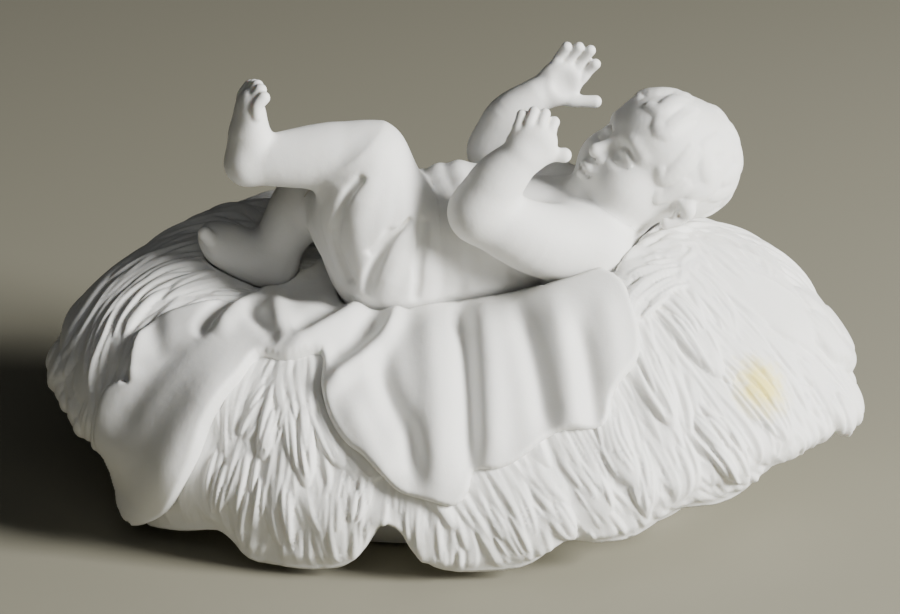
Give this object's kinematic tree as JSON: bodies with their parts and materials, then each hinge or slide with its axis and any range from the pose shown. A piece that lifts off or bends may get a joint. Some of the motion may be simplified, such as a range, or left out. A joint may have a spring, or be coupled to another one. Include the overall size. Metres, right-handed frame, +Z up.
{
  "type": "nativity infant figurine",
  "caption": "White bisque porcelain infant lying in a separate draped straw bed that stands on a flat foot.",
  "frame": {"origin": "middle of the flat underside of the bed's foot", "axes": "+X towards the infant's head, +Y to the back of the bed, +Z up"},
  "size_m": [0.205, 0.1265, 0.1118],
  "materials": {
    "infant_bisque": "matt unglazed white porcelain",
    "bed_bisque": "matt unglazed white porcelain with a few small yellow and grey spots"
  },
  "bodies": {
    "root": {"infant": "infant_bisque", "straw_bed": "bed_bisque"}
  },
  "joints": []
}
